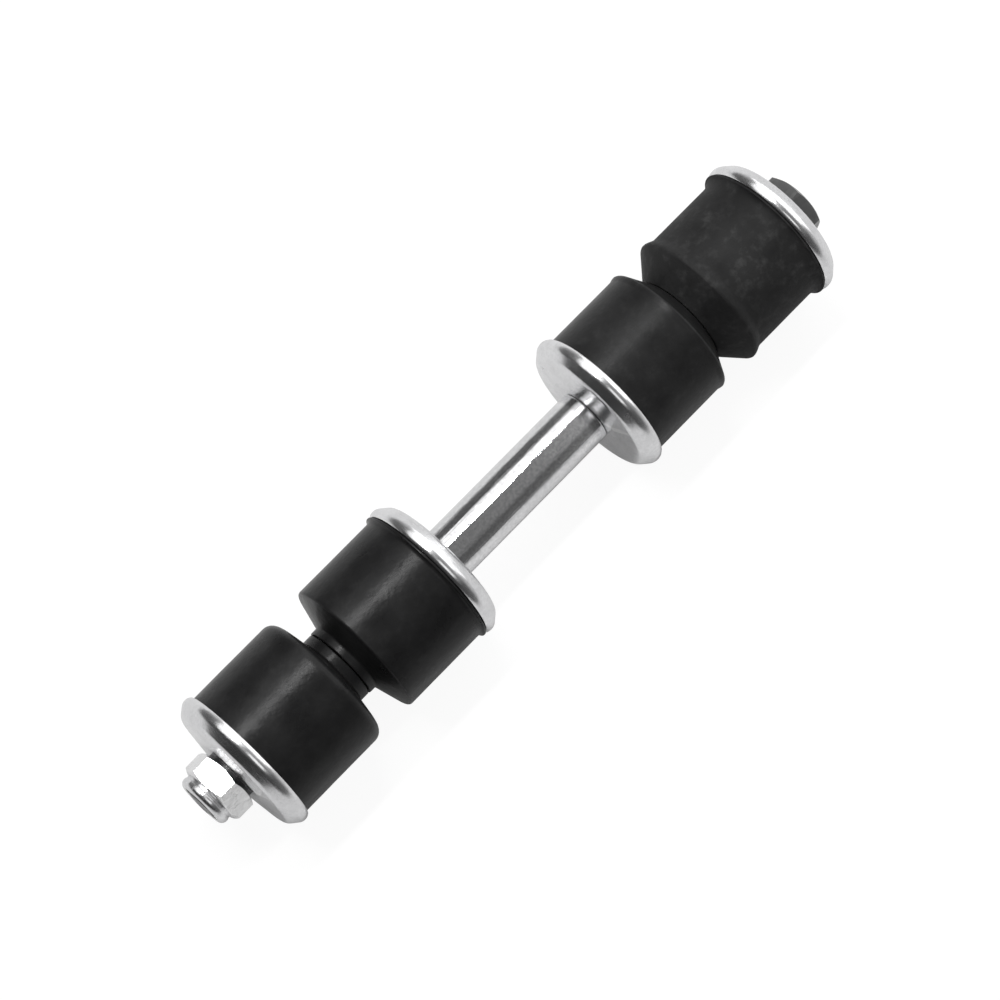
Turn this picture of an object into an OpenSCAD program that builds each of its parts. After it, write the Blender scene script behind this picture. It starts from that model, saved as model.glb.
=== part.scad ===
// Stabilizer link: a long bolt with a lock nut, clamping a pair of rubber bushings at each end
// of a spacer sleeve. Every bushing is cupped by a pressed washer.
// The bolt lies along X with its head at +X. The origin is the middle of the link, on the bolt's axis.

/* [Bolt] */
// Diameter of the shank
bolt_d = 8; // [6:0.5:9]
// Diameter over the crests of the thread
thread_d = 7.9; // [5.8:0.1:7.9]
// Length of the thread, from the tip
thread_len = 34; // [24:1:50]
// Height of the bevel on the tip
tip_bevel = 1; // [0.5:0.1:1.5]
// How far the tip stands out of the nut
tip_out = 0; // [0:0.1:3]
// Width of the head across its flats
head_af = 13; // [11.5:0.5:14.5]
// Height of the head
head_h = 4.2; // [3.6:0.1:7]
// Turn of the head about the bolt, in degrees
head_turn = 2; // [0:1:60]

/* [Lock nut] */
// Width of the nut across its flats
nut_af = 13; // [12:0.5:14.5]
// Height of the nut over its collar
nut_h = 8.4; // [8:0.1:10]
// Height of the hexagon alone
nut_hex_h = 5.5; // [4.5:0.1:6]
// Diameter of the round collar
collar_d = 11.6; // [11.2:0.1:12]
// Radius of the bead that the collar is rolled to
collar_roll = 1.3; // [1:0.1:1.4]
// Wall of the collar's bead, over the locking ring
collar_wall = 0.7; // [0.5:0.1:0.9]
// Height of the locking ring
ring_h = 1.9; // [1.2:0.1:2.4]
// Turn of the nut about the bolt, in degrees
nut_turn = 36; // [0:1:60]

/* [Cupped washers] */
// Outside diameter of the washers
washer_d = 33; // [32:0.5:36]
// Height of a washer, from its flat hub to the back of its rim
washer_h = 5.2; // [4.8:0.1:6]
// Thickness of the sheet that the washers are pressed from
washer_t = 1.5; // [1:0.1:1.8]
// Diameter of the flat hub
hub_d = 18; // [17:0.5:20]
// Slope of the dish from the hub out to the flank, in degrees
dish_slope = 8; // [4:1:14]
// Slope of the steep flank between the dish and the rim, in degrees
flank_slope = 51; // [44:1:56]
// Outside radius of the bend at the foot of the flank and of the curled rim
bend_r = 1.9; // [1.6:0.1:2.4]
// How far the rim curls in past upright, in degrees
rim_turn = 47; // [30:1:60]

/* [Spacer sleeve] */
// Length of the sleeve
sleeve_len = 40.6; // [20:0.1:120]
// Outside diameter of the sleeve
sleeve_d = 11.6; // [11:0.1:14]
// Bevel on the sleeve's ends
sleeve_bevel = 0.4; // [0.1:0.1:0.6]

/* [Nut end bushings] */
// Diameter of the bodies
nut_body_d = 31; // [30:0.1:31.4]
// Length of the outer bushing's body, from the washer's rim to the shoulder
nut_outer_len = 21; // [14:0.1:30]
// Length of the inner bushing's body
nut_inner_len = 20.5; // [14:0.1:30]
// Width of the groove between the shoulders, where the eye of the arm sits
nut_groove = 8.1; // [7.4:0.1:14]
// Diameter of the spigot on the outer bushing
outer_spigot_d = 16; // [13:0.1:20]
// Diameter of the spigot on the inner bushing
inner_spigot_d = 16.3; // [13:0.1:20]
// Height of the outer bushing's sloping shoulder
outer_slope = 1.6; // [1:0.1:3]
// Height of the inner bushing's sloping shoulder
inner_slope = 2.2; // [1:0.1:3]
// Radius of the outer bushing's rounded edge
outer_corner = 2.3; // [0.5:0.1:2.5]
// Radius of the inner bushing's edge
inner_corner = 0.6; // [0.3:0.1:1.5]

/* [Head end bushings] */
// Diameter of the inner bushing's body
head_inner_d = 30.4; // [29.6:0.1:31]
// Length of the inner bushing's body, from the washer's rim to the shoulder
head_inner_len = 19.1; // [14:0.1:30]
// Diameter of the outer bushing's body
head_outer_d = 30; // [29.6:0.1:31]
// Length of the outer bushing's body
head_outer_len = 20.3; // [14:0.1:30]
// Width of the groove between the shoulders, where the eye of the bar sits
head_groove = 8.4; // [7.6:0.1:14]
// Diameter of the flat noses where the two cones meet
nose_d = 20.4; // [17:0.1:24]
// Share of the groove that the inner bushing's cone takes
inner_share = 0.38; // [0.3:0.01:0.6]
// How far the outer bushing's lip stands out
outer_lip = 0.75; // [0.2:0.05:1]
// Width of the outer bushing's lip
outer_lip_w = 2.8; // [1:0.1:4]
// How far the inner bushing's lip stands out
inner_lip = 0.25; // [0.1:0.05:1]
// Width of the inner bushing's lip
inner_lip_w = 1.6; // [1:0.1:4]

/* [Rubber skirts] */
// Diameter of the skirts that flare over a washer's rim
skirt_d = 32.5; // [31.5:0.1:33]
// Length of the skirt on the outer bushing at the head end
head_skirt = 2.8; // [1.2:0.1:4]
// Length of the skirt on the inner bushing at the nut end
nut_skirt = 1.4; // [1.2:0.1:4]

/* [Clearances] */
// Gap between the bolt and the bores that slide on it
bolt_play = 0.35; // [0.2:0.05:0.5]
// Gap between the thread's crests and the nut
thread_play = 0.06; // [0.03:0.01:0.1]
// Gap between the rubber and the cup that holds it
seat_gap = 0.1; // [0.05:0.05:0.2]
// Gap between two noses that face each other
nose_gap = 0.2; // [0.1:0.05:0.4]

/* [Hidden] */
$fn = 96;

RUBBER = "#1d1d1e";
ZINC = "#c8cbce";
DARK_STEEL = "#6a6c70";
NYLON = "#e8e8e2";

// Stations along the bolt, measured from its tip
nut_seat = tip_out + nut_h;
nut_outer_rim = nut_seat + washer_h;
nut_outer_edge = nut_outer_rim + nut_outer_len;
nut_inner_edge = nut_outer_edge + nut_groove;
nut_inner_rim = nut_inner_edge + nut_inner_len;
sleeve_from = nut_inner_rim + washer_h;
sleeve_to = sleeve_from + sleeve_len;
head_inner_rim = sleeve_to + washer_h;
head_inner_edge = head_inner_rim + head_inner_len;
head_outer_edge = head_inner_edge + head_groove;
head_outer_rim = head_outer_edge + head_outer_len;
head_seat = head_outer_rim + washer_h;
overall = head_seat + head_h;

bore_r = bolt_d / 2 + bolt_play;
thread_r = thread_d / 2 + thread_play;

// Where the outside of a washer turns from its flank to its rim, and from its dish to its flank
brim = [washer_d / 2, washer_h - bend_r * (sin(rim_turn) + tan((90 - flank_slope) / 2))];
knee_r = (brim[0] * tan(flank_slope) - brim[1] - hub_d / 2 * tan(dish_slope))
    / (tan(flank_slope) - tan(dish_slope));
knee = [knee_r, (knee_r - hub_d / 2) * tan(dish_slope)];

// Centre of the rim's curl, and the radius of the rubber that fills it
brim_at = inset_corner(brim, flank_slope, 90, bend_r);
lining = washer_t + seat_gap;
curl_r = max(0.05, bend_r - lining);

// The neck below the bead of the nut's collar, and the locking ring's pocket inside it
neck_turn = 40;
neck_r = collar_d / 2 - collar_roll * (1 - cos(neck_turn));
pocket_r = collar_d / 2 - collar_wall;
pocket_z = nut_h - collar_wall - ring_h;

// Points of an arc about [cx, cy] from angle a to angle b
function arc(cx, cy, r, a, b, steps = 8) =
    [for (i = [0 : steps]) let (t = a + (b - a) * i / steps) [cx + r * cos(t), cy + r * sin(t)]];

// Corner p, where slope a turns to slope b, moved inwards by the thickness t of what lies over it
function inset_corner(p, a, b, t) =
    p + t / cos((b - a) / 2) * [-sin((a + b) / 2), cos((a + b) / 2)];

// A piece whose own Z runs towards the bolt's head
module towards_head(station) {
    translate([station - overall / 2, 0, 0]) rotate([0, 90, 0]) children();
}

// A piece whose own Z runs towards the nut
module towards_nut(station) {
    translate([station - overall / 2, 0, 0]) rotate([0, -90, 0]) children();
}

// Hexagon on Z = 0, with its corners bevelled at the top, and at the foot too if asked
module bevelled_hex(af, h, turn, foot) {
    corner = af / 2 / cos(30);
    flat = af / 2 * 0.95;
    drop = (corner - flat) * tan(30);
    rotate(turn) intersection() {
        cylinder(h = h, r = corner, $fn = 6);
        rotate(15) rotate_extrude() polygon(concat(
            [[0, 0]],
            foot ? [[flat, 0], [corner, drop]] : [[corner, 0]],
            [[corner, h - drop], [flat, h], [0, h]]));
    }
}

// Hex bolt, its bearing face on Z = 0 and its shank running down to the tip
module link_bolt() {
    face_h = 0.4;
    tip_r = thread_d / 2 - 0.7 * tip_bevel;
    step = (bolt_d - thread_d) / 2;
    color(DARK_STEEL) towards_head(head_seat) union() {
        translate([0, 0, face_h]) bevelled_hex(head_af, head_h - face_h, head_turn, false);
        rotate_extrude() polygon([
            [0, face_h], [head_af * 0.47, face_h], [head_af * 0.47, 0], [bolt_d / 2, 0],
            [bolt_d / 2, thread_len - head_seat], [thread_d / 2, thread_len - step - head_seat],
            [thread_d / 2, tip_bevel - head_seat], [tip_r, -head_seat], [0, -head_seat]]);
    }
}

// Lock nut, its bearing face on Z = 0, with a collar rolled over the locking ring
module lock_nut() {
    lead = 0.5;
    lip_r = (thread_r + pocket_r) / 2;
    color(ZINC) towards_nut(nut_seat) difference() {
        union() {
            bevelled_hex(nut_af, nut_hex_h, nut_turn, true);
            rotate_extrude() polygon(concat(
                [[0, lead], [neck_r, lead]],
                arc(collar_d / 2 - collar_roll, nut_h - collar_roll, collar_roll, -neck_turn, 90),
                [[0, nut_h]]));
        }
        rotate_extrude() polygon([
            [0, -1], [thread_r + lead + 1, -1], [thread_r, lead],
            [thread_r, pocket_z], [pocket_r, pocket_z], [pocket_r, pocket_z + ring_h],
            [lip_r, pocket_z + ring_h], [lip_r, nut_h + 1], [0, nut_h + 1]]);
    }
}

// Locking ring, held in the nut's collar
module locking_ring() {
    color(NYLON) towards_nut(nut_seat) translate([0, 0, pocket_z]) difference() {
        cylinder(h = ring_h, r = pocket_r - thread_play);
        translate([0, 0, -1]) cylinder(h = ring_h + 2, r = thread_r);
    }
}

// Pressed washer: flat hub on Z = 0, sloping dish, steep flank, and a curled rim that cups the rubber
module cupped_washer() {
    hub = [hub_d / 2, 0];
    knee_at = inset_corner(knee, dish_slope, flank_slope, bend_r);
    inner_r = bend_r - washer_t;
    color(ZINC) rotate_extrude() polygon(concat(
        [[bore_r, 0], hub],
        arc(knee_at[0], knee_at[1], bend_r, dish_slope - 90, flank_slope - 90),
        arc(brim_at[0], brim_at[1], bend_r, flank_slope - 90, rim_turn),
        arc(brim_at[0], brim_at[1], inner_r, rim_turn, flank_slope - 90),
        arc(knee_at[0], knee_at[1], inner_r, flank_slope - 90, dish_slope - 90),
        [inset_corner(hub, 0, dish_slope, washer_t), [bore_r, washer_t]]));
}

// Outline of a bushing's foot, which fills the cup from its bore out to the rim, whose end is at Z = 0
function foot() =
    let (outline = concat(
        [[bore_r, lining],
            inset_corner([hub_d / 2, 0], 0, dish_slope, lining),
            inset_corner(knee, dish_slope, flank_slope, lining)],
        arc(brim_at[0], brim_at[1], curl_r, flank_slope - 90, rim_turn)))
    [for (p = outline) p - [0, washer_h]];

// Edge of a bushing's body: it follows the end of the curled rim, and a skirt flares out over it
function rim_edge(r, skirt) =
    let (thick = seat_gap + 0.35,
         along = [cos(rim_turn), sin(rim_turn)],
         from = brim_at - [0, washer_h] + seat_gap * [-sin(rim_turn), cos(rim_turn)],
         start = from + curl_r * along)
    skirt == 0
        ? [start, from + max(curl_r + 0.1, (r - from[0]) / cos(rim_turn)) * along]
        : concat([start, from + bend_r * along, [skirt_d / 2, seat_gap]],
            [for (a = [0 : 10 : 90])
                [r + (skirt_d / 2 - r) * (1 - sin(a)), thick + (skirt - thick) * (1 - cos(a))]]);

// Bushing with a spigot that passes through the eye
module spigot_bushing(body_len, spigot_d, slope, corner, skirt) {
    r = nut_body_d / 2;
    tip = body_len + (nut_groove - nose_gap) / 2;
    turn = 90 - atan(slope / (r - spigot_d / 2));
    color(RUBBER) rotate_extrude() polygon(concat(
        foot(), rim_edge(r, skirt),
        arc(r - corner, body_len - corner * tan(turn / 2), corner, 0, turn),
        [[spigot_d / 2, body_len + slope], [spigot_d / 2, tip], [bore_r, tip]]));
}

// Bushing with a cone for a nose, and a lip round its shoulder
module cone_bushing(body_d, body_len, nose_h, lip, lip_w, skirt) {
    r = body_d / 2;
    edge = 0.3;
    color(RUBBER) rotate_extrude() polygon(concat(
        foot(), rim_edge(r, skirt),
        [for (a = [0 : 20 : 180])
            [r + lip * (1 - cos(a)) / 2, body_len - lip_w + (lip_w - edge) * a / 180]],
        [[r + lip - edge / 2, body_len], [nose_d / 2, body_len + nose_h], [bore_r, body_len + nose_h]]));
}

// Washer under the nut
module nut_washer() {
    towards_head(nut_seat) cupped_washer();
}

// Bushing next to the nut, outside the arm's eye
module nut_outer_bushing() {
    towards_head(nut_outer_rim)
        spigot_bushing(nut_outer_len, outer_spigot_d, outer_slope, outer_corner, 0);
}

// Bushing inside the arm's eye
module nut_inner_bushing() {
    towards_nut(nut_inner_rim)
        spigot_bushing(nut_inner_len, inner_spigot_d, inner_slope, inner_corner, nut_skirt);
}

// Washer between that bushing and the sleeve
module nut_inner_washer() {
    towards_nut(sleeve_from) cupped_washer();
}

// Sleeve that sets the length of the link
module spacer_sleeve() {
    r = sleeve_d / 2;
    color(ZINC) towards_head(sleeve_from) rotate_extrude() polygon([
        [bore_r, 0], [r - sleeve_bevel, 0], [r, sleeve_bevel],
        [r, sleeve_len - sleeve_bevel], [r - sleeve_bevel, sleeve_len], [bore_r, sleeve_len]]);
}

// Washer between the sleeve and the head end bushings
module head_inner_washer() {
    towards_head(sleeve_to) cupped_washer();
}

// Bushing inside the bar's eye
module head_inner_bushing() {
    nose_h = inner_share * head_groove - nose_gap / 2;
    towards_head(head_inner_rim)
        cone_bushing(head_inner_d, head_inner_len, nose_h, inner_lip, inner_lip_w, 0);
}

// Bushing next to the bolt's head, outside the bar's eye
module head_outer_bushing() {
    nose_h = (1 - inner_share) * head_groove - nose_gap / 2;
    towards_nut(head_outer_rim)
        cone_bushing(head_outer_d, head_outer_len, nose_h, outer_lip, outer_lip_w, head_skirt);
}

// Washer under the bolt's head
module head_washer() {
    towards_nut(head_seat) cupped_washer();
}

link_bolt();
lock_nut();
locking_ring();
nut_washer();
nut_outer_bushing();
nut_inner_bushing();
nut_inner_washer();
spacer_sleeve();
head_inner_washer();
head_inner_bushing();
head_outer_bushing();
head_washer();
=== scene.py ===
import bmesh
import bpy
import math
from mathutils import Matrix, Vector


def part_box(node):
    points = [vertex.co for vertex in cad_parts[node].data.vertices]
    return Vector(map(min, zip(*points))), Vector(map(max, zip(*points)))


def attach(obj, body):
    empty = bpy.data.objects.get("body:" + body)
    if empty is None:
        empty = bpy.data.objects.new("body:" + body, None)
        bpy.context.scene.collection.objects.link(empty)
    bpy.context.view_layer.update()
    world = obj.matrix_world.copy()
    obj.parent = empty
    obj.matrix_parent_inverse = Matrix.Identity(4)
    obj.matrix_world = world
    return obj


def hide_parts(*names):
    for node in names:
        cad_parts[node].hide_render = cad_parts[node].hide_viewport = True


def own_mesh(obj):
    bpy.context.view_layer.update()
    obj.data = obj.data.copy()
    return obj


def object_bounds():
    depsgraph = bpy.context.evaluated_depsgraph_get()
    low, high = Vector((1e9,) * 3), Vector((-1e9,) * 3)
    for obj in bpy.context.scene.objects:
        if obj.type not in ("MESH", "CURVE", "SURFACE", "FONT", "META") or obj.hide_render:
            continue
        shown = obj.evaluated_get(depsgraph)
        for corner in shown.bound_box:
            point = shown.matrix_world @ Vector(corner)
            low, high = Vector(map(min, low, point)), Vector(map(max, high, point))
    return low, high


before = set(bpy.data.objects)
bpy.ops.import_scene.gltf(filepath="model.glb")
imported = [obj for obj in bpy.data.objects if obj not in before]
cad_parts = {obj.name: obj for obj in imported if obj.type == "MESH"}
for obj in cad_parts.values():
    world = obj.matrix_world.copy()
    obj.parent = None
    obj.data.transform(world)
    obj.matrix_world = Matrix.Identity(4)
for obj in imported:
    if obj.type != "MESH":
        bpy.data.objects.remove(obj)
cadLow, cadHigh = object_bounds()
mm = 0.001
seam = 0.0005 * mm  # points closer than this are one
sliver = 0.004 * mm  # booleans leave needle faces narrower than this
scene = bpy.context.scene
print("frame loaded with", len(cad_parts), "nodes")


# Drawing and spinning outlines about the bolt's axis, which is X

def deselectAll():
    if bpy.context.mode != "OBJECT":
        bpy.ops.object.mode_set(mode="OBJECT")
    bpy.ops.object.select_all(action="DESELECT")


def pick(piece):  # selects a piece alone and makes it the active one
    deselectAll()
    piece.select_set(True)
    bpy.context.view_layer.objects.active = piece


def reachOf(node):  # where a node starts and ends along the bolt, in millimetres
    low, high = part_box(node)
    return low.x / mm, high.x / mm


def insetCorner(corner, slopeIn, slopeOut, depth):  # a bend's corner, moved inwards by a wall
    middle = math.radians((slopeIn + slopeOut) / 2)
    stretch = depth / math.cos(math.radians((slopeOut - slopeIn) / 2))
    return corner[0] + stretch * math.cos(middle), corner[1] - stretch * math.sin(middle)


def roundCorners(corners, steps=6):  # each corner is (along, out, radius)
    points = []
    for i, (along, out, radius) in enumerate(corners):
        here = Vector((along, out))
        before = Vector(corners[i - 1][:2]) - here
        after = Vector(corners[(i + 1) % len(corners)][:2]) - here
        if radius == 0:
            points.append(here)
            continue
        half = before.angle(after) / 2
        longest = 0.49 * min(before.length, after.length)  # two roundings never meet along a side
        reach = min(radius / math.tan(half), longest)
        before.normalize()
        after.normalize()
        centre = here + (before + after).normalized() * (reach / math.cos(half))
        spoke = here + before * reach - centre
        sweep = spoke.angle_signed(here + after * reach - centre)
        for k in range(steps + 1):
            turn = -sweep * k / steps
            points.append(centre + Vector((
                spoke.x * math.cos(turn) - spoke.y * math.sin(turn),
                spoke.x * math.sin(turn) + spoke.y * math.cos(turn))))
    return points


def splitLong(points, step):  # extra points on the long straights, for shapes that get uneven later
    out = []
    for i, here in enumerate(points):
        there = points[(i + 1) % len(points)]
        parts = max(1, round((there - here).length / step))
        out += [here.lerp(there, k / parts) for k in range(parts)]
    return out


def spinOutline(name, points, seat=0, facing=1, closed=True, turns=128):
    spots = [Vector(((seat + facing * p[0]) * mm, 0, p[1] * mm)) for p in points]
    deselectAll()
    bpy.ops.mesh.primitive_plane_add(size=mm, location=spots[0])
    piece = bpy.context.object
    piece.name = name
    bpy.ops.object.mode_set(mode="EDIT")
    bpy.ops.mesh.merge(type="CENTER")
    for before, after in zip(spots, spots[1:]):
        bpy.ops.mesh.extrude_region_move(TRANSFORM_OT_translate={"value": after - before})
    if closed:
        selectWhere(lambda v: len(v.link_edges) == 1)
        bpy.ops.mesh.edge_face_add()
    bpy.ops.mesh.select_all(action="SELECT")
    bpy.ops.mesh.spin(steps=turns, angle=math.tau, center=(0, 0, 0), axis=(1, 0, 0))
    tidyMesh()
    bpy.ops.object.mode_set(mode="OBJECT")
    bpy.ops.object.transform_apply(location=True, rotation=True, scale=True)
    return piece


def tidyMesh():  # in edit mode
    bpy.ops.mesh.select_all(action="SELECT")
    bpy.ops.mesh.remove_doubles(threshold=seam)
    bpy.ops.mesh.normals_make_consistent(inside=False)


def selectWhere(test):  # in edit mode, selects the vertices that pass a test
    bpy.ops.mesh.select_all(action="DESELECT")
    shape = bmesh.from_edit_mesh(bpy.context.object.data)
    for v in shape.verts:
        v.select = test(v)
    shape.select_flush(True)
    bmesh.update_edit_mesh(bpy.context.object.data)


def addModifier(piece, kind, **settings):  # adds a modifier and applies it
    pick(piece)
    bpy.ops.object.modifier_add(type=kind)
    modifier = piece.modifiers[-1]
    for key, value in settings.items():
        setattr(modifier, key, value)
    bpy.ops.object.modifier_apply(modifier=modifier.name)


def clearSlivers(piece):
    pick(piece)
    bpy.ops.object.mode_set(mode="EDIT")
    bpy.ops.mesh.select_all(action="SELECT")
    bpy.ops.mesh.remove_doubles(threshold=sliver)
    bpy.ops.mesh.dissolve_degenerate(threshold=sliver)
    tidyMesh()
    bpy.ops.object.mode_set(mode="OBJECT")


def combine(piece, tool, operation):  # boolean with a tool that is used up
    addModifier(piece, "BOOLEAN", operation=operation, solver="EXACT", object=tool)
    bpy.data.objects.remove(tool)
    clearSlivers(piece)


def finishPiece(piece, node, body, material, smooth=35):
    pick(piece)
    bpy.ops.object.shade_smooth_by_angle(angle=math.radians(smooth))
    piece.data.name = piece.name
    piece.data.materials.clear()
    piece.data.materials.append(material)
    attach(piece, body)
    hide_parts(node)


# Node groups and materials

def addNode(tree, kind, at, **values):
    node = tree.nodes.new(kind)
    node.location = at
    for key, value in values.items():
        node.inputs[key].default_value = value
    return node


def mathNode(tree, operation, at, first, second=None):
    node = tree.nodes.new("ShaderNodeMath")
    node.operation = operation
    node.location = at
    for socket, value in zip(node.inputs, (first, second)):
        if isinstance(value, (int, float)):
            socket.default_value = value
        elif value is not None:
            tree.links.new(value, socket)
    return node.outputs[0]


def newGroup(name, inputs, outputs):
    group = bpy.data.node_groups.new(name, "ShaderNodeTree")
    for label, value in inputs.items():
        socket = group.interface.new_socket(label, in_out="INPUT", socket_type="NodeSocketFloat")
        socket.default_value = value
    for label in outputs:
        group.interface.new_socket(label, in_out="OUTPUT", socket_type="NodeSocketFloat")
    return group, addNode(group, "NodeGroupInput", (-900, 0)), addNode(group, "NodeGroupOutput", (900, 0))


def placeGroup(tree, group, at, **values):
    node = tree.nodes.new("ShaderNodeGroup")
    node.node_tree = group
    node.location = at
    for label, value in values.items():
        node.inputs[label].default_value = value
    return node


def linkMask(tree, at, value, given, target):  # spreads a value so that Low becomes 0 and High becomes 1
    spread = addNode(tree, "ShaderNodeMapRange", at)
    tree.links.new(value, spread.inputs["Value"])
    tree.links.new(given.outputs["Low"], spread.inputs["From Min"])
    tree.links.new(given.outputs["High"], spread.inputs["From Max"])
    tree.links.new(spread.outputs[0], target)


def makeToolMarks():  # fine marks in a metal surface, drawn out along the bolt or turned round it
    tree, given, result = newGroup(
        "toolMarks", {"Along": 1000, "Around": 10, "Outward": 1000, "Low": 0.35, "High": 0.65}, ["Mark"])
    place = addNode(tree, "ShaderNodeTexCoord", (-900, 300))
    parts = addNode(tree, "ShaderNodeSeparateXYZ", (-700, 300))
    tree.links.new(place.outputs["Object"], parts.inputs[0])
    squares = [mathNode(tree, "MULTIPLY", (-520, y), parts.outputs[k], parts.outputs[k])
               for k, y in ((1, 200), (2, 60))]
    radius = mathNode(tree, "SQRT", (-220, 140), mathNode(tree, "ADD", (-370, 140), *squares))
    turnY, turnZ = [mathNode(tree, "DIVIDE", (-60, y), parts.outputs[k], radius)
                    for k, y in ((1, 200), (2, 60))]
    spot = addNode(tree, "ShaderNodeCombineXYZ", (280, 200))
    scaled = ((parts.outputs[0], "Along", 320), (turnY, "Around", 180), (turnZ, "Around", 40))
    for socket, (value, label, y) in zip(spot.inputs, scaled):
        tree.links.new(mathNode(tree, "MULTIPLY", (100, y), value, given.outputs[label]), socket)
    noise = addNode(tree, "ShaderNodeTexNoise", (460, 200), Scale=1, Detail=3, Roughness=0.6)
    noise.noise_dimensions = "4D"
    tree.links.new(spot.outputs[0], noise.inputs["Vector"])
    tree.links.new(mathNode(tree, "MULTIPLY", (280, 0), radius, given.outputs["Outward"]), noise.inputs["W"])
    linkMask(tree, (640, 200), noise.outputs[0], given, result.inputs["Mark"])
    return tree


def makePatches():  # soft blotches, such as uneven plating or bloom on rubber
    tree, given, result = newGroup(
        "patches", {"Scale": 150, "Detail": 4, "Low": 0.4, "High": 0.65}, ["Patch"])
    place = addNode(tree, "ShaderNodeTexCoord", (-700, 100))
    noise = addNode(tree, "ShaderNodeTexNoise", (-400, 100), Roughness=0.6)
    tree.links.new(place.outputs["Object"], noise.inputs["Vector"])
    tree.links.new(given.outputs["Scale"], noise.inputs["Scale"])
    tree.links.new(given.outputs["Detail"], noise.inputs["Detail"])
    linkMask(tree, (-100, 100), noise.outputs[0], given, result.inputs["Patch"])
    return tree


def makeEdgeWear():  # where an edge stands out and gets rubbed
    tree, given, result = newGroup("edgeWear", {"Low": 0.505, "High": 0.56}, ["Edge"])
    shape = addNode(tree, "ShaderNodeNewGeometry", (-400, 100))
    linkMask(tree, (-100, 100), shape.outputs["Pointiness"], given, result.inputs["Edge"])
    return tree


toolMarks = makeToolMarks()
patches = makePatches()
edgeWear = makeEdgeWear()


def mixColour(tree, at, factor, first, second):  # a colour is a tuple or a socket
    mix = addNode(tree, "ShaderNodeMix", at)
    mix.data_type = "RGBA"
    tree.links.new(factor, mix.inputs["Factor"])
    for socket, colour in ((mix.inputs[6], first), (mix.inputs[7], second)):
        if isinstance(colour, tuple):
            socket.default_value = (*colour, 1)
        else:
            tree.links.new(colour, socket)
    return mix.outputs[2]


def mapValue(tree, at, value, low, high):  # spreads a 0 to 1 value over another range
    spread = addNode(tree, "ShaderNodeMapRange", at)
    tree.links.new(value, spread.inputs["Value"])
    spread.inputs["To Min"].default_value = low
    spread.inputs["To Max"].default_value = high
    return spread.outputs[0]


def addBump(tree, at, height, distance, under=None):
    bump = addNode(tree, "ShaderNodeBump", at, Distance=distance)
    tree.links.new(height, bump.inputs["Height"])
    if under:
        tree.links.new(under, bump.inputs["Normal"])
    return bump.outputs[0]


def newMaterial(name):
    material = bpy.data.materials.new(name)
    material.use_nodes = True
    tree = material.node_tree
    shader = tree.nodes["Principled BSDF"]
    shader.location = (600, 0)
    tree.nodes["Material Output"].location = (900, 0)
    return material, tree, shader


def makeSteel(name, finish):
    material, tree, shader = newMaterial(name)
    marks = placeGroup(tree, toolMarks, (-700, 200), **finish["marks"])
    cloud = placeGroup(tree, patches, (-700, -100), Scale=finish["cloudScale"], Detail=5, Low=0.35, High=0.7)
    grain = placeGroup(tree, patches, (-700, -700), Scale=finish["grainScale"], Detail=3, Low=0.3, High=0.7)
    edge = placeGroup(tree, edgeWear, (-700, -400))
    tone = mixColour(tree, (-400, 200), cloud.outputs[0], finish["colour"], finish["cloudColour"])
    speck = mathNode(tree, "MULTIPLY", (-400, 400), grain.outputs[0], finish["grain"])
    tone = mixColour(tree, (-250, 350), speck, tone, finish["grainColour"])
    tone = mixColour(tree, (-50, 200), edge.outputs[0], tone, finish["edgeColour"])
    tree.links.new(tone, shader.inputs["Base Color"])
    uneven = mathNode(tree, "MULTIPLY", (-400, -100), marks.outputs[0], cloud.outputs[0])
    roughness = mapValue(tree, (-150, -100), uneven, *finish["roughness"])
    tree.links.new(roughness, shader.inputs["Roughness"])
    relief = addBump(tree, (0, -400), grain.outputs[0], finish["grainDepth"] * mm)
    relief = addBump(tree, (200, -300), marks.outputs[0], finish["markDepth"] * mm, relief)
    tree.links.new(relief, shader.inputs["Normal"])
    shader.inputs["Metallic"].default_value = 1
    return material


sleeveFinish = {
    "colour": (0.84, 0.84, 0.85), "cloudColour": (0.74, 0.74, 0.75), "edgeColour": (0.9, 0.9, 0.9),
    "marks": {"Along": 45, "Around": 30, "Outward": 0, "Low": 0.3, "High": 0.7},
    "cloudScale": 220, "roughness": (0.05, 0.11), "markDepth": 0.01,
    "grainScale": 1700, "grain": 0.7, "grainColour": (0.45, 0.45, 0.46), "grainDepth": 0.004}
washerFinish = {
    "colour": (0.82, 0.82, 0.83), "cloudColour": (0.72, 0.72, 0.73), "edgeColour": (0.9, 0.9, 0.9),
    "marks": {"Along": 1800, "Around": 6, "Outward": 1800, "Low": 0.3, "High": 0.7},
    "cloudScale": 260, "roughness": (0.19, 0.32), "markDepth": 0.004,
    "grainScale": 1700, "grain": 0.4, "grainColour": (0.5, 0.5, 0.51), "grainDepth": 0.003}
nutFinish = {
    "colour": (0.82, 0.82, 0.83), "cloudColour": (0.7, 0.7, 0.71), "edgeColour": (0.9, 0.9, 0.9),
    "marks": {"Along": 900, "Around": 14, "Outward": 900, "Low": 0.3, "High": 0.7},
    "cloudScale": 500, "roughness": (0.2, 0.36), "markDepth": 0.006,
    "grainScale": 900, "grain": 0.3, "grainColour": (0.5, 0.5, 0.51), "grainDepth": 0.02}
boltFinish = {
    "colour": (0.15, 0.15, 0.154), "cloudColour": (0.09, 0.09, 0.093), "edgeColour": (0.26, 0.26, 0.26),
    "marks": {"Along": 700, "Around": 20, "Outward": 700, "Low": 0.3, "High": 0.7},
    "cloudScale": 420, "roughness": (0.34, 0.5), "markDepth": 0.008,
    "grainScale": 1300, "grain": 0.6, "grainColour": (0.06, 0.06, 0.062), "grainDepth": 0.01}
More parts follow.
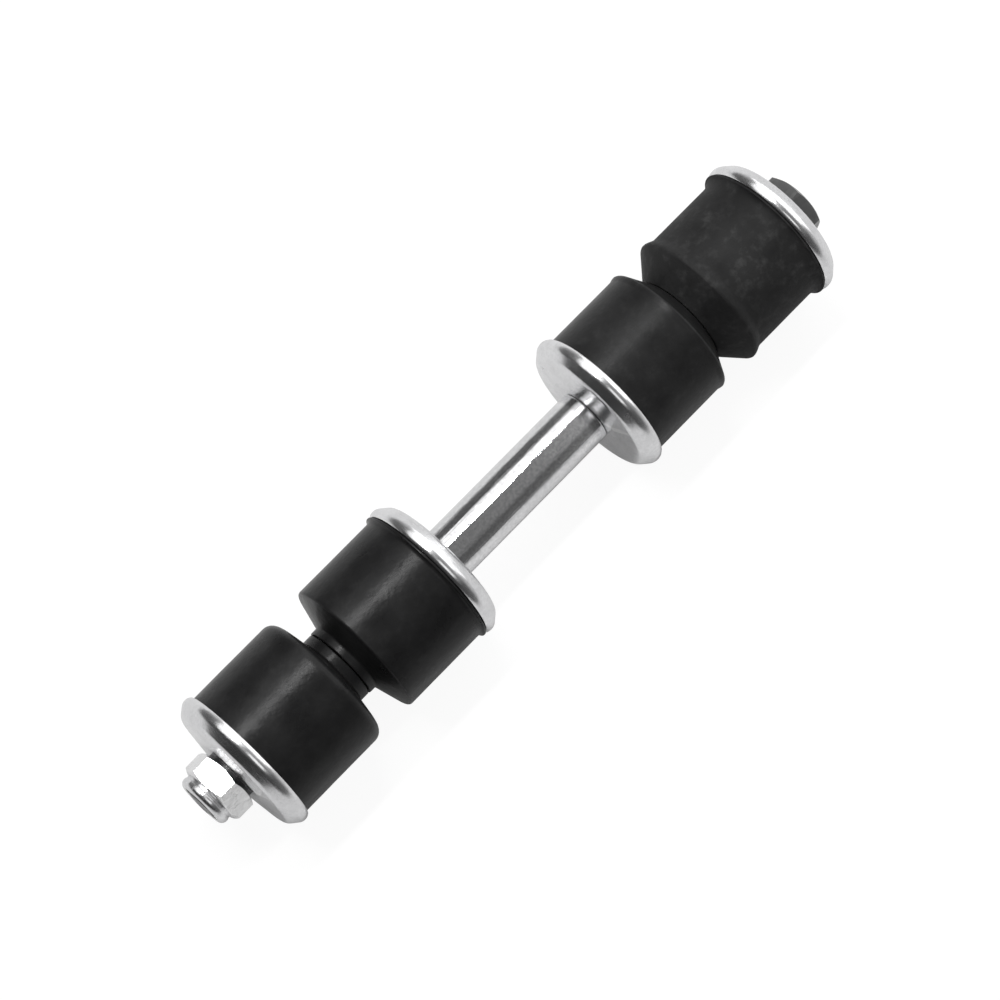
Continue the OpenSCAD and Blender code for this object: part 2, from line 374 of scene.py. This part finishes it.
# painted shade: a dark steel for the recess round the nut's foot, where nut and washer shadow each other
recessShadeFinish = {
    "colour": (0.09, 0.09, 0.09), "cloudColour": (0.05, 0.05, 0.05), "edgeColour": (0.16, 0.16, 0.16),
    "marks": {"Along": 900, "Around": 14, "Outward": 900, "Low": 0.3, "High": 0.7},
    "cloudScale": 500, "roughness": (0.4, 0.55), "markDepth": 0.006,
    "grainScale": 1500, "grain": 0.3, "grainColour": (0.04, 0.04, 0.04), "grainDepth": 0.004}


def makeRubber(name, finish):
    material, tree, shader = newMaterial(name)
    cloud = placeGroup(tree, patches, (-700, 200), Scale=130, Detail=4, Low=0.35, High=0.7)
    smears = placeGroup(tree, patches, (-700, -100), Scale=420, Detail=5, Low=0.5, High=0.75)
    grain = placeGroup(tree, patches, (-700, -400), Scale=2600, Detail=2, Low=0.3, High=0.7)
    dust = mathNode(tree, "MULTIPLY", (-450, 0), smears.outputs[0], cloud.outputs[0])
    dust = mathNode(tree, "MULTIPLY", (-280, 0), dust, finish["dust"])
    tone = mixColour(tree, (-280, 250), cloud.outputs[0], finish["colour"], finish["cloudColour"])
    tone = mixColour(tree, (0, 200), dust, tone, finish["dustColour"])
    tree.links.new(tone, shader.inputs["Base Color"])
    roughness = mapValue(tree, (0, -100), cloud.outputs[0], *finish["roughness"])
    tree.links.new(roughness, shader.inputs["Roughness"])
    relief = None
    layers = ((cloud, "lumpDepth"), (smears, "smearDepth"), (grain, "grainDepth"))
    for place, (source, depth) in enumerate(layers):
        relief = addBump(tree, (50 + 180 * place, -350), source.outputs[0], finish[depth] * mm, relief)
    tree.links.new(relief, shader.inputs["Normal"])
    shader.inputs["Specular IOR Level"].default_value = finish["gloss"]
    return material


cleanFinish = {
    "colour": (0.009, 0.009, 0.0092), "cloudColour": (0.016, 0.016, 0.0162),
    "dustColour": (0.05, 0.05, 0.05), "dust": 0.15, "gloss": 0.15, "roughness": (0.27, 0.34),
    "lumpDepth": 0.06, "smearDepth": 0.02, "grainDepth": 0.004}
greyFinish = {
    "colour": (0.013, 0.013, 0.0132), "cloudColour": (0.021, 0.021, 0.0212),
    "dustColour": (0.06, 0.06, 0.06), "dust": 0.25, "gloss": 0.13, "roughness": (0.3, 0.38),
    "lumpDepth": 0.05, "smearDepth": 0.02, "grainDepth": 0.006}
bloomFinish = {
    "colour": (0.015, 0.015, 0.0152), "cloudColour": (0.027, 0.027, 0.0272),
    "dustColour": (0.08, 0.08, 0.08), "dust": 0.6, "gloss": 0.08, "roughness": (0.5, 0.62),
    "lumpDepth": 0.05, "smearDepth": 0.02, "grainDepth": 0.008}
nylonFinish = {"colour": (0.78, 0.78, 0.74), "cloudColour": (0.7, 0.69, 0.64), "roughness": (0.4, 0.5)}


def makeNylon(name, finish):
    material, tree, shader = newMaterial(name)
    cloud = placeGroup(tree, patches, (-400, 100), Scale=700, Detail=3, Low=0.35, High=0.7)
    tone = mixColour(tree, (0, 150), cloud.outputs[0], finish["colour"], finish["cloudColour"])
    tree.links.new(tone, shader.inputs["Base Color"])
    roughness = mapValue(tree, (0, -100), cloud.outputs[0], *finish["roughness"])
    tree.links.new(roughness, shader.inputs["Roughness"])
    return material


sleeveZinc = makeSteel("sleeveZinc", sleeveFinish)
washerZinc = makeSteel("washerZinc", washerFinish)
nutZinc = makeSteel("nutZinc", nutFinish)
darkSteel = makeSteel("darkSteel", boltFinish)
recessShadeSteel = makeSteel("recessShadeSteel", recessShadeFinish)
blackRubber = makeRubber("blackRubber", cleanFinish)
greyRubber = makeRubber("greyRubber", greyFinish)
bloomedRubber = makeRubber("bloomedRubber", bloomFinish)
nylon = makeNylon("nylon", nylonFinish)
print("materials made:", len(bpy.data.materials))


# Cupped washers

washer = {
    "outside": 33, "hub": 18, "bore": 8.7, "sheet": 1.5, "dishSlope": 8, "flankSlope": 51, "bend": 1.9,
    "rimTurn": 47, "edge": 0.45, "edgeTurn": 25, "punched": 0.25, "hubBend": 1.5, "turns": 160}
washerFrom, washerTo = reachOf("nut_washer")
washerHeight = washerTo - washerFrom
rimRadius = washer["outside"] / 2
boreRadius = washer["bore"] / 2
hubCorner = (0, washer["hub"] / 2)
rimTurn = math.radians(washer["rimTurn"])
dishRise = math.tan(math.radians(washer["dishSlope"]))
flankRise = math.tan(math.radians(washer["flankSlope"]))
curlReach = math.sin(rimTurn) + math.tan(math.radians(90 - washer["flankSlope"]) / 2)
brim = (washerHeight - washer["bend"] * curlReach, rimRadius)
kneeRadius = (rimRadius * flankRise - brim[0] - hubCorner[1] * dishRise) / (flankRise - dishRise)
knee = ((kneeRadius - hubCorner[1]) * dishRise, kneeRadius)
curlCentre = insetCorner(brim, washer["flankSlope"], 90, washer["bend"])


def curl(radius, start, end, steps=10):  # points round the rim's curl, from one angle to another
    angles = [math.radians(start + (end - start) * k / steps) for k in range(steps + 1)]
    return [(curlCentre[0] + radius * math.sin(a), curlCentre[1] + radius * math.cos(a), 0) for a in angles]


def liningCorners(depth):  # the bends of the dish, seen a given depth inside it
    return (
        insetCorner(hubCorner, 0, washer["dishSlope"], depth),
        insetCorner(knee, washer["dishSlope"], washer["flankSlope"], depth))


def makeWasher(name, seat, facing):
    sheet, bend = washer["sheet"], washer["bend"]
    innerBend = bend - sheet
    innerHub, innerKnee = liningCorners(sheet)
    curlFrom = washer["flankSlope"] - 90
    rimEnd = [(curlCentre[0] + r * math.sin(rimTurn), curlCentre[1] + r * math.cos(rimTurn), washer["edge"])
              for r in (bend, innerBend)]
    outline = [(0, boreRadius, washer["punched"]), (*hubCorner, washer["hubBend"]), (*knee, bend)]
    outline += curl(bend, curlFrom, washer["rimTurn"] - washer["edgeTurn"]) + rimEnd
    outline += curl(innerBend, 0, curlFrom, steps=4)
    outline += [(*innerKnee, innerBend), (*innerHub, 0), (sheet, boreRadius, washer["punched"])]
    return spinOutline(name, roundCorners(outline, steps=8), seat, facing, turns=washer["turns"])


washerPlaces = {
    "nut_washer": ("nut_end", 1), "nut_inner_washer": ("core", -1),
    "head_inner_washer": ("core", 1), "head_washer": ("head_end", -1)}
for node, (body, facing) in washerPlaces.items():
    first, last = reachOf(node)
    piece = makeWasher("washer_" + node, first if facing > 0 else last, facing)
    finishPiece(piece, node, body, washerZinc)
print("washers made")


# Rubber bushings

seatGap = 0.06
rubberMesh = {"turns": 160, "step": 0.8, "uneven": 0.05, "unevenSize": 7}
rounding = {
    "bore": 0.2, "foot": 0.2, "shoulder": 0.6, "skirt": 0.12, "root": 0.6, "nose": 0.25,
    "lip": 0.25, "lipBack": 0.3, "lipDrop": 0.15}


def footCorners():  # fills the cup, measured from the end of the rim
    lining = washer["sheet"] + seatGap
    corners = [(lining, boreRadius, rounding["bore"])]
    corners += [(*corner, rounding["foot"]) for corner in liningCorners(lining)]
    corners += curl(washer["bend"] - lining, washer["flankSlope"] - 90, washer["rimTurn"], steps=4)
    return [(along - washerHeight, out, radius) for along, out, radius in corners]


def edgeCorners(radius, skirt):  # follows the rim's end, then rounds into the body or flares out over it
    start = Vector((curlCentre[0] - washerHeight, curlCentre[1]))
    start += seatGap * Vector((math.cos(rimTurn), -math.sin(rimTurn)))
    up = Vector((math.sin(rimTurn), math.cos(rimTurn)))
    if not skirt:
        return [(*(start + up * (radius - start.y) / up.y), rounding["shoulder"])]
    flare = skirt["radius"] - radius
    edge = seatGap + skirt["edge"]
    angles = [math.radians(a) for a in range(10, 100, 10)]
    corners = [(*(start + up * washer["bend"]), 0)]
    corners += [(along, skirt["radius"], rounding["skirt"]) for along in (seatGap, edge)]
    corners += [(edge + (skirt["length"] - edge) * (1 - math.cos(a)), radius + flare * (1 - math.sin(a)), 0)
                for a in angles]
    return corners


def lipCorners(size):  # a lip that swells out just before the shoulder
    lip = size["lip"]
    start = size["bodyLength"] - size["lipWidth"]
    curve = [(start + (size["lipWidth"] - rounding["lipBack"]) * a / 180,
              size["bodyRadius"] + lip * (1 - math.cos(math.radians(a))) / 2, 0) for a in range(0, 181, 20)]
    return curve + [(size["bodyLength"], size["bodyRadius"] + lip - rounding["lipDrop"], rounding["lip"])]


def makeBushing(name, node, washerNode, facing, size):
    first, last = reachOf(washerNode)
    rim = last if facing > 0 else first
    noseFrom, noseTo = reachOf(node)
    nose = abs((noseTo if facing > 0 else noseFrom) - rim)
    corners = footCorners() + edgeCorners(size["bodyRadius"], size.get("skirt"))
    if "lip" in size:
        corners += lipCorners(size)
    else:
        corners += [(size["bodyLength"], size["bodyRadius"], size["corner"]),
                    (size["bodyLength"] + size["slope"], size["noseRadius"], rounding["root"])]
    corners += [(nose, size["noseRadius"], rounding["nose"]), (nose, boreRadius, rounding["bore"])]
    outline = splitLong(roundCorners(corners), rubberMesh["step"])
    piece = spinOutline(name, outline, rim, facing, turns=rubberMesh["turns"])
    return piece, rim * mm, nose * mm


def roughen(piece):  # moulded rubber is never quite true
    lumps = bpy.data.textures.new(piece.name + "Lumps", "CLOUDS")
    lumps.noise_scale = rubberMesh["unevenSize"] * mm
    addModifier(piece, "DISPLACE", texture=lumps, texture_coords="LOCAL", mid_level=0.5,
                strength=rubberMesh["uneven"] * mm)


nutOuterBushing = {"bodyRadius": 15.5, "bodyLength": 21, "corner": 2.3, "slope": 1.6, "noseRadius": 8}
nutInnerBushing = {
    "bodyRadius": 15.5, "bodyLength": 20.5, "corner": 0.6, "slope": 2.2, "noseRadius": 8.15,
    "skirt": {"radius": 16.25, "length": 1.4, "edge": 0.35}}
headInnerBushing = {"bodyRadius": 15.2, "bodyLength": 19.1, "lip": 0.25, "lipWidth": 1.6, "noseRadius": 10.2}
headOuterBushing = {
    "bodyRadius": 15, "bodyLength": 20.3, "lip": 0.75, "lipWidth": 2.8, "noseRadius": 10.2,
    "skirt": {"radius": 16.25, "length": 2.8, "edge": 0.35}}
bushingPlaces = {
    "nut_outer_bushing": ("nut_washer", "nut_end", 1, nutOuterBushing, blackRubber),
    "nut_inner_bushing": ("nut_inner_washer", "core", -1, nutInnerBushing, blackRubber),
    "head_inner_bushing": ("head_inner_washer", "core", 1, headInnerBushing, greyRubber),
    "head_outer_bushing": ("head_washer", "head_end", -1, headOuterBushing, bloomedRubber)}
for node, (washerNode, body, facing, size, rubber) in bushingPlaces.items():
    piece, rim, length = makeBushing("rubber_" + node, node, washerNode, facing, size)
    roughen(piece)
    finishPiece(piece, node, body, rubber)
    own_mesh(piece)
print("bushings made")


# Spacer sleeve

sleeve = {"outside": 11.6, "bevel": 0.45, "bore": 8.7, "innerBevel": 0.2}
sleeveFrom, sleeveTo = reachOf("spacer_sleeve")
sleeveOut, sleeveBore = sleeve["outside"] / 2, sleeve["bore"] / 2
piece = spinOutline("tube_spacer_sleeve", roundCorners([
    (sleeveFrom, sleeveBore, sleeve["innerBevel"]), (sleeveFrom, sleeveOut, sleeve["bevel"]),
    (sleeveTo, sleeveOut, sleeve["bevel"]), (sleeveTo, sleeveBore, sleeve["innerBevel"])]))
finishPiece(piece, "spacer_sleeve", "sleeve", sleeveZinc)
print("sleeve made")


# Hexagons, for the nut and the bolt's head

hexagon = {"bevelFrom": 0.95, "bevelTo": 1.02, "bevelSlope": 30, "turns": 192}
overlap = 1  # how far shapes run into or past each other before they are combined


def makeHexagon(name, size, low, high, bevelLow):
    flats = size["flats"]
    corner = flats / 2 / math.cos(math.radians(30))
    deselectAll()
    bpy.ops.mesh.primitive_cylinder_add(
        vertices=6, radius=corner * mm, depth=(high - low + 2 * overlap) * mm,
        location=((low + high) / 2 * mm, 0, 0), rotation=(0, math.pi / 2, 0))
    piece = bpy.context.object
    piece.name = name
    bpy.ops.object.transform_apply(location=True, rotation=True, scale=True)
    piece.rotation_euler.x = math.radians(30 - size["cornerAt"])
    bpy.ops.object.transform_apply(location=True, rotation=True, scale=True)
    bpy.ops.object.mode_set(mode="EDIT")
    shape = bmesh.from_edit_mesh(piece.data)
    for e in shape.edges:
        e.select = abs(e.verts[0].co.x - e.verts[1].co.x) > sliver
    shape.select_flush_mode()
    bmesh.update_edit_mesh(piece.data)
    bpy.ops.mesh.select_mode(type="EDGE")
    bpy.ops.mesh.bevel(offset=size["softened"] * mm, segments=3, affect="EDGES")
    bpy.ops.mesh.select_mode(type="VERT")
    bpy.ops.object.mode_set(mode="OBJECT")
    flat = flats / 2 * hexagon["bevelFrom"]
    wide = corner * hexagon["bevelTo"]
    drop = (wide - flat) * math.tan(math.radians(hexagon["bevelSlope"]))
    ends = [(low, 0)]
    ends += [(low, flat), (low + drop, wide)] if bevelLow else [(low, wide)]
    ends += [(high - drop, wide), (high, flat), (high, 0)]
    combine(piece, spinOutline(name + "Dome", ends, closed=False, turns=hexagon["turns"]), "INTERSECT")
    return piece


# Lock nut and its locking ring

lockNut = {
    "flats": 13, "hexHeight": 5.2, "cornerAt": 36, "softened": 0.22,
    "foot": 0.7, "footWidth": 11, "footEdge": 0.15, "beadSteps": 24, "mouth": 0.2,
    "collar": 11.6, "wall": 0.7, "roll": 1.3, "neckTurn": 30, "ring": 1.9, "bore": 8.02, "lead": 0.5,
    "turns": {"foot": 180, "collar": 192, "bore": 170}}  # unlike counts, so that no edges fall together
nutTop, nutSeat = reachOf("lock_nut")
nutHeight = nutSeat - nutTop
collarRadius = lockNut["collar"] / 2
nutBore = lockNut["bore"] / 2
pocketRadius = collarRadius - lockNut["wall"]
pocketFrom = nutHeight - lockNut["wall"] - lockNut["ring"]
lipRadius = (nutBore + pocketRadius) / 2
hexFrom = nutSeat - lockNut["foot"] - lockNut["hexHeight"]
hexTo = hexFrom + lockNut["hexHeight"]
nut = makeHexagon("nut_lock_nut", lockNut, hexFrom, hexTo, bevelLow=True)
footRadius = lockNut["footWidth"] / 2
footTo = lockNut["foot"] + overlap
foot = spinOutline("foot", roundCorners([
    (0, 0, 0), (0, footRadius, lockNut["footEdge"]), (footTo, footRadius, 0), (footTo, 0, 0)]),
    nutSeat, -1, closed=False, turns=lockNut["turns"]["foot"])
combine(nut, foot, "UNION")
neckTurn = math.radians(lockNut["neckTurn"])
beadCentre = (nutHeight - lockNut["roll"], collarRadius - lockNut["roll"])
steps = lockNut["beadSteps"]
beadTurns = [-neckTurn + (math.pi / 2 + neckTurn) * k / steps for k in range(steps + 1)]
bead = [(beadCentre[0] + lockNut["roll"] * math.sin(a), beadCentre[1] + lockNut["roll"] * math.cos(a))
        for a in beadTurns]
collar = spinOutline("collar", [(overlap, 0), (overlap, bead[0][1])] + bead + [(nutHeight, 0)],
                     nutSeat, -1, closed=False, turns=lockNut["turns"]["collar"])
combine(nut, collar, "UNION")
lead, mouth = lockNut["lead"], lockNut["mouth"]
pocketTo = pocketFrom + lockNut["ring"]
bore = spinOutline("bore", [
    (-overlap, 0), (-overlap, nutBore + lead + overlap), (lead, nutBore), (pocketFrom, nutBore),
    (pocketFrom, pocketRadius), (pocketTo, pocketRadius), (pocketTo, lipRadius),
    (nutHeight - mouth, lipRadius), (nutHeight + overlap, lipRadius + (overlap + mouth)),
    (nutHeight + overlap, 0)],
    nutSeat, -1, closed=False, turns=lockNut["turns"]["bore"])
combine(nut, bore, "DIFFERENCE")
finishPiece(nut, "lock_nut", "nut", nutZinc, smooth=28)
nut.data.materials.append(recessShadeSteel)  # painted shade: the foot's faces get a dark steel, standing in for the shadow in the recess under the nut
for face in nut.data.polygons:
    if abs(face.normal.x) < 0.5 and face.center.x > (nutSeat - lockNut["foot"]) * mm:
        face.material_index = 1

lockingRing = {"gap": 0.06, "innerEdge": 0.3, "outerEdge": 0.2}
ringFrom, ringTo = reachOf("locking_ring")
ringRadius = pocketRadius - lockingRing["gap"]
ring = spinOutline("ring_locking_ring", roundCorners([
    (ringFrom, nutBore, lockingRing["innerEdge"]), (ringFrom, ringRadius, lockingRing["outerEdge"]),
    (ringTo, ringRadius, lockingRing["outerEdge"]), (ringTo, nutBore, lockingRing["innerEdge"])]))
finishPiece(ring, "locking_ring", "nut", nylon)
print("nut made")


# Bolt: head, shank and thread

bolt = {
    "flats": 13, "face": 0.4, "faceShare": 0.47, "faceEdge": 0.12, "cornerAt": -2, "softened": 0.22,
    "shank": 8, "neck": 0.4, "runOut": 0.6, "runOutTop": 0.3, "runOutFoot": 0.2, "coreBevel": 0.3}
thread = {
    "outside": 7.9, "root": 6.5, "pitch": 1.25, "length": 34, "sunk": 0.12, "steps": 48,
    "footShare": 0.44, "topShare": 0.08, "aheadShare": 0.5,
    "tipFrom": 0.15, "tipTo": 1, "tipSlope": 0.75, "tail": 0.1, "spare": 0.01}
boltFrom, boltTo = reachOf("link_bolt")
headSeat = reachOf("head_washer")[1]
headFrom = headSeat + bolt["face"]
head = makeHexagon("bolt_link_bolt", bolt, headFrom, boltTo, bevelLow=False)
shankRadius = bolt["shank"] / 2
crest = thread["outside"] / 2
root = thread["root"] / 2
threadTo = boltFrom + thread["length"]
faceRadius = bolt["flats"] * bolt["faceShare"]
coreBevel = bolt["coreBevel"]
shank = spinOutline("shank", roundCorners([
    (headFrom + overlap, 0, 0), (headFrom + overlap, faceRadius, 0),
    (headSeat, faceRadius, bolt["faceEdge"]), (headSeat, shankRadius, bolt["neck"]),
    (threadTo, shankRadius, bolt["runOutTop"]),
    (threadTo - bolt["runOut"], root, bolt["runOutFoot"]), (boltFrom + coreBevel, root, 0),
    (boltFrom, root - coreBevel, 0), (boltFrom, root - 2 * coreBevel, 0), (boltFrom, 0, 0)]), closed=False)
combine(head, shank, "UNION")


def makeThread():  # one ridge with a narrow flat top, screwed round the bolt
    pitch = thread["pitch"]
    ahead = pitch * thread["aheadShare"]
    half = pitch * thread["footShare"]
    top = pitch * thread["topShare"]
    base = root - thread["sunk"]
    start = boltFrom - ahead
    corners = [(start - half, base), (start - top, crest), (start + top, crest), (start + half, base)]
    deselectAll()
    bpy.ops.mesh.primitive_plane_add(size=mm, location=(corners[0][0] * mm, 0, corners[0][1] * mm))
    ridge = bpy.context.object
    bpy.ops.object.mode_set(mode="EDIT")
    bpy.ops.mesh.merge(type="CENTER")
    for before, after in zip(corners, corners[1:]):
        step = ((after[0] - before[0]) * mm, 0, (after[1] - before[1]) * mm)
        bpy.ops.mesh.extrude_region_move(TRANSFORM_OT_translate={"value": step})
    selectWhere(lambda v: len(v.link_edges) == 1)
    bpy.ops.mesh.edge_face_add()
    bpy.ops.object.mode_set(mode="OBJECT")
    bpy.ops.object.transform_apply(location=True, rotation=True, scale=True)
    turns = int((thread["length"] + ahead) / pitch)
    steps = thread["steps"]
    addModifier(ridge, "SCREW", axis="X", angle=math.tau, screw_offset=pitch * mm, iterations=turns,
                steps=steps, render_steps=steps, use_merge_vertices=True, merge_threshold=seam)
    bpy.ops.object.mode_set(mode="EDIT")
    tidyMesh()
    bpy.ops.mesh.select_all(action="DESELECT")
    bpy.ops.mesh.select_mode(type="EDGE")
    bpy.ops.mesh.select_non_manifold()
    bpy.ops.mesh.edge_face_add()
    bpy.ops.mesh.select_mode(type="VERT")
    tidyMesh()
    bpy.ops.object.mode_set(mode="OBJECT")
    return ridge


ridge = makeThread()
tipFrom, tail = boltFrom + thread["tipFrom"], threadTo - thread["tail"]
sheathRadius = crest + thread["spare"]
sheath = spinOutline("sheath", [
    (tipFrom, 0), (tipFrom, crest - thread["tipSlope"] * thread["tipTo"]),
    (boltFrom + thread["tipTo"], sheathRadius), (tail, sheathRadius), (tail, 0)], closed=False)
combine(ridge, sheath, "INTERSECT")
combine(head, ridge, "UNION")
finishPiece(head, "link_bolt", "bolt", darkSteel, smooth=28)
print("bolt made with", len(head.data.polygons), "faces")


# Floor, light and camera

floor = {
    "size": 6, "colour": (0.65, 0.65, 0.65), "roughness": 0.9,
    "glow": 1.11, "share": 0.83, "mirroredShare": 0.1}
studio = {
    "top": 0.22, "side": 0.1, "horizon": 0.15, "topAt": 0.72, "sideAt": 0.55, "horizonAt": 0.1,
    "nutSide": 0.25, "headSide": 1.6, "headWall": 2.3, "wallFrom": 0.25, "wallTo": 0.65}
lamps = {
    "key": {"centre": (0.1, 0.357, 0.482), "size": (1.2, 0.31), "radiance": 1.15},
    "strip": {"centre": (-0.025, 0.195, 0.567), "size": (0.41, 0.035), "radiance": 50},
    "overhead": {"centre": (-0.22, -0.24, 0.56), "size": (0.28, 0.34), "radiance": 1.05},
    "headSide": {"centre": (0.557, 0.05, 0.335), "size": (0.9, 0.74), "radiance": 1.05}}
camera = {
    "lens": 129.6, "sensor": 36, "clip": (0.01, 20), "distance": 0.714,
    "azimuth": -46.41, "elevation": 74.4, "target": (-0.0013, 0.00026, 0)}


def makeFloor():
    deselectAll()
    bpy.ops.mesh.primitive_plane_add(size=floor["size"], location=(0, 0, cadLow.z))
    plane = bpy.context.object
    plane.name = "floor"
    material, tree, shader = newMaterial("floorWhite")
    shader.inputs["Base Color"].default_value = (*floor["colour"], 1)
    shader.inputs["Roughness"].default_value = floor["roughness"]
    shader.inputs["Specular IOR Level"].default_value = 0
    path = addNode(tree, "ShaderNodeLightPath", (-200, 400))
    mirrored = mathNode(
        tree, "MAXIMUM", (0, 400), path.outputs["Is Glossy Ray"], path.outputs["Is Transmission Ray"])
    mirrored = mathNode(tree, "MULTIPLY", (150, 400), mirrored, floor["mirroredShare"])
    seen = mathNode(tree, "MULTIPLY", (150, 600), path.outputs["Is Camera Ray"], floor["share"])
    seen = mathNode(tree, "MAXIMUM", (300, 500), seen, mirrored)
    glow = addNode(tree, "ShaderNodeEmission", (600, 300), Color=(1, 1, 1, 1), Strength=floor["glow"])
    mix = addNode(tree, "ShaderNodeMixShader", (800, 200))
    tree.links.new(seen, mix.inputs[0])
    tree.links.new(shader.outputs[0], mix.inputs[1])
    tree.links.new(glow.outputs[0], mix.inputs[2])
    tree.links.new(mix.outputs[0], tree.nodes["Material Output"].inputs[0])
    plane.data.materials.append(material)


def makeWorld():  # a room with a pale ceiling, dim at the nut's end and bright at the head's end
    world = bpy.data.worlds.new("studio")
    scene.world = world
    world.use_nodes = True
    tree = world.node_tree
    place = addNode(tree, "ShaderNodeTexCoord", (-800, 0))
    parts = addNode(tree, "ShaderNodeSeparateXYZ", (-600, 0))
    tree.links.new(place.outputs["Generated"], parts.inputs[0])
    ramp = addNode(tree, "ShaderNodeValToRGB", (-400, 100))
    stops = ramp.color_ramp.elements
    stops[0].position, stops[1].position = studio["horizonAt"], studio["topAt"]
    stops.new(studio["sideAt"])
    for stop, level in zip(stops, (studio["horizon"], studio["side"], studio["top"])):
        stop.color = (level, level, level, 1)
    tree.links.new(parts.outputs[2], ramp.inputs[0])
    sides = addNode(tree, "ShaderNodeMapRange", (-400, -200))
    tree.links.new(parts.outputs[0], sides.inputs["Value"])
    sides.inputs["From Min"].default_value = -1
    sides.inputs["To Min"].default_value = studio["nutSide"]
    sides.inputs["To Max"].default_value = studio["headSide"]
    wall = addNode(tree, "ShaderNodeMapRange", (-400, -450))
    tree.links.new(parts.outputs[0], wall.inputs["Value"])
    wall.inputs["From Min"].default_value = studio["wallFrom"]
    wall.inputs["From Max"].default_value = studio["wallTo"]
    wall.inputs["To Max"].default_value = studio["headWall"]
    level = mathNode(tree, "ADD", (-150, -300), sides.outputs[0], wall.outputs[0])
    tree.links.new(ramp.outputs[0], tree.nodes["Background"].inputs["Color"])
    tree.links.new(level, tree.nodes["Background"].inputs["Strength"])


def makeLamp(name, lamp):
    deselectAll()
    bpy.ops.object.light_add(type="AREA", location=lamp["centre"])
    light = bpy.context.object
    light.name = name
    light.visible_camera = False
    light.data.shape = "RECTANGLE"
    light.data.size, light.data.size_y = lamp["size"]
    light.data.energy = math.pi * lamp["radiance"] * lamp["size"][0] * lamp["size"][1]
    sideways = abs(lamp["centre"][0]) > abs(lamp["centre"][1])
    aim = Vector((0 if sideways else lamp["centre"][0], 0, 0)) - Vector(lamp["centre"])
    light.rotation_euler = aim.to_track_quat("-Z", "Y").to_euler()


def makeCamera():
    azimuth, elevation = math.radians(camera["azimuth"]), math.radians(camera["elevation"])
    back = Vector((math.sin(azimuth) * math.cos(elevation), -math.cos(azimuth) * math.cos(elevation),
                   math.sin(elevation)))
    bpy.ops.object.camera_add(location=Vector(camera["target"]) + back * camera["distance"])
    view = bpy.context.object
    view.rotation_euler = (-back).to_track_quat("-Z", "Y").to_euler()
    view.data.lens = camera["lens"]
    view.data.sensor_width = camera["sensor"]
    view.data.clip_start, view.data.clip_end = camera["clip"]
    scene.camera = view


makeFloor()
makeWorld()
for name, lamp in lamps.items():
    makeLamp(name, lamp)
makeCamera()
scene.view_settings.view_transform = "Standard"
print("studio made")
